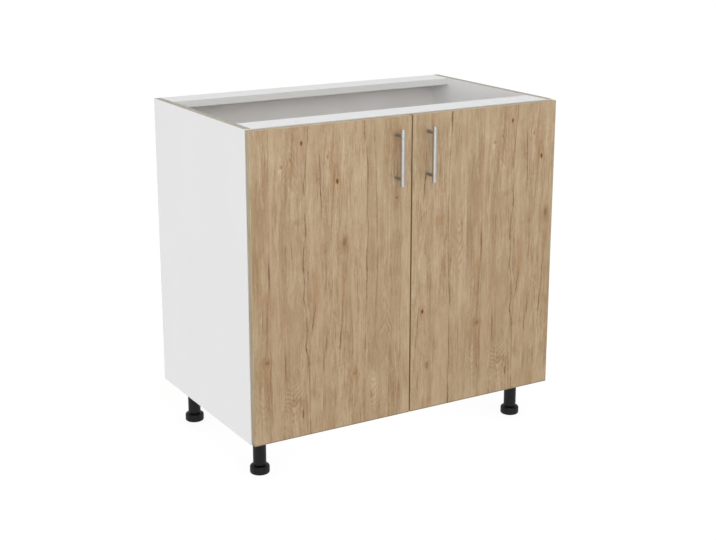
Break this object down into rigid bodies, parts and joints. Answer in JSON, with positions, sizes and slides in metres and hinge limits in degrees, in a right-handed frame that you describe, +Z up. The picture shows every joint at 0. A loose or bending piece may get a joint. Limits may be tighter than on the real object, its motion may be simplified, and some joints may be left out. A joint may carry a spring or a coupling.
{
  "type": "kitchen base cabinet",
  "caption": "Kitchen base cabinet: open-topped white board carcass on black levelling legs, oak-decor doors on concealed hinges, steel bar handles and an inner shelf.",
  "frame": {"origin": "on the floor, under the middle of the overall box", "axes": "+X to the cabinet's right as seen from the front, +Y to its back, +Z up"},
  "size_m": [0.8, 0.5325, 0.798],
  "materials": {
    "white_board": "white melamine facing, satin",
    "white_edge_band": "satin",
    "hardboard": "white-lacquered hardboard, brown outside",
    "oak_decor_board": "oak decor, matt",
    "oak_edge_band": "oak decor, matt",
    "black_plastic": "moulded, fine grain",
    "handle_steel": "brushed",
    "nickel_hinge": "nickel plated",
    "zinc_screw": "zinc plated",
    "zinc_fitting": "die cast",
    "beech_dowel": "plain",
    "clear_bumper": "translucent"
  },
  "bodies": {
    "carcass": {"back_panel": "hardboard", "back_panel_nails": "zinc_screw", "bottom_panel": "white_board", "bottom_panel_edge_band": "white_edge_band", "cam_bolts": "zinc_fitting", "cam_locks": "zinc_fitting", "front_left_leg": "black_plastic", "front_right_leg": "black_plastic", "front_top_rail": "white_board", "hinge_arm_screws": "zinc_screw", "hinge_plate_screws": "zinc_screw", "left_lower_hinge_arm": "nickel_hinge", "left_lower_hinge_plate": "nickel_hinge", "left_side_edge_band": "white_edge_band", "left_side_panel": "white_board", "left_upper_hinge_arm": "nickel_hinge", "left_upper_hinge_plate": "nickel_hinge", "leg_screws": "zinc_screw", "rear_left_leg": "black_plastic", "rear_right_leg": "black_plastic", "rear_top_rail": "white_board", "right_lower_hinge_arm": "nickel_hinge", "right_lower_hinge_plate": "nickel_hinge", "right_side_edge_band": "white_edge_band", "right_side_panel": "white_board", "right_upper_hinge_arm": "nickel_hinge", "right_upper_hinge_plate": "nickel_hinge", "shelf": "white_board", "shelf_edge_band": "white_edge_band", "shelf_pins": "zinc_screw", "top_rail_edge_bands": "white_edge_band", "wood_dowels": "beech_dowel"},
    "left_door": {"left_door_bumpers": "clear_bumper", "left_door_edge_bands": "oak_edge_band", "left_door_panel": "oak_decor_board", "left_handle_bar": "handle_steel", "left_handle_posts": "handle_steel", "left_handle_screws": "zinc_screw", "left_hinge_cup_screws": "zinc_screw", "left_hinge_pins": "nickel_hinge", "left_lower_hinge_cup": "nickel_hinge", "left_upper_hinge_cup": "nickel_hinge"},
    "left_links": {"left_hinge_links": "nickel_hinge"},
    "right_door": {"right_door_bumpers": "clear_bumper", "right_door_edge_bands": "oak_edge_band", "right_door_panel": "oak_decor_board", "right_handle_bar": "handle_steel", "right_handle_posts": "handle_steel", "right_handle_screws": "zinc_screw", "right_hinge_cup_screws": "zinc_screw", "right_hinge_pins": "nickel_hinge", "right_lower_hinge_cup": "nickel_hinge", "right_upper_hinge_cup": "nickel_hinge"},
    "right_links": {"right_hinge_links": "nickel_hinge"},
    "front_left_foot_screw": {"front_left_foot": "black_plastic"},
    "front_right_foot_screw": {"front_right_foot": "black_plastic"},
    "rear_left_foot_screw": {"rear_left_foot": "black_plastic"},
    "rear_right_foot_screw": {"rear_right_foot": "black_plastic"}
  },
  "joints": [
    {"name": "left_door_swing", "type": "hinge", "parent": "carcass", "child": "left_door", "pos_m": [-0.3937, -0.22875, 0.4485], "axis": [0, 0, -1], "range_deg": [0, 105]},
    {"name": "left_link_fold", "type": "hinge", "parent": "left_door", "child": "left_links", "pos_m": [-0.387, -0.22325, 0.4485], "axis": [0, 0, 1], "range_deg": [-0.5, 91]},
    {"name": "right_door_swing", "type": "hinge", "parent": "carcass", "child": "right_door", "pos_m": [0.3937, -0.22875, 0.4485], "axis": [0, 0, 1], "range_deg": [0, 105]},
    {"name": "right_link_fold", "type": "hinge", "parent": "right_door", "child": "right_links", "pos_m": [0.387, -0.22325, 0.4485], "axis": [0, 0, -1], "range_deg": [-0.5, 91]},
    {"name": "front_left_foot_height", "type": "slide", "parent": "carcass", "child": "front_left_foot_screw", "axis": [0, 0, -1], "range_m": [0, 0.012]},
    {"name": "front_right_foot_height", "type": "slide", "parent": "carcass", "child": "front_right_foot_screw", "axis": [0, 0, -1], "range_m": [0, 0.012]},
    {"name": "rear_left_foot_height", "type": "slide", "parent": "carcass", "child": "rear_left_foot_screw", "axis": [0, 0, -1], "range_m": [0, 0.012]},
    {"name": "rear_right_foot_height", "type": "slide", "parent": "carcass", "child": "rear_right_foot_screw", "axis": [0, 0, -1], "range_m": [0, 0.012]}
  ],
  "couplings": [
    {"joint": "left_link_fold", "follows": "left_door_swing", "ratio": 0.85714},
    {"joint": "right_link_fold", "follows": "right_door_swing", "ratio": 0.85714}
  ]
}
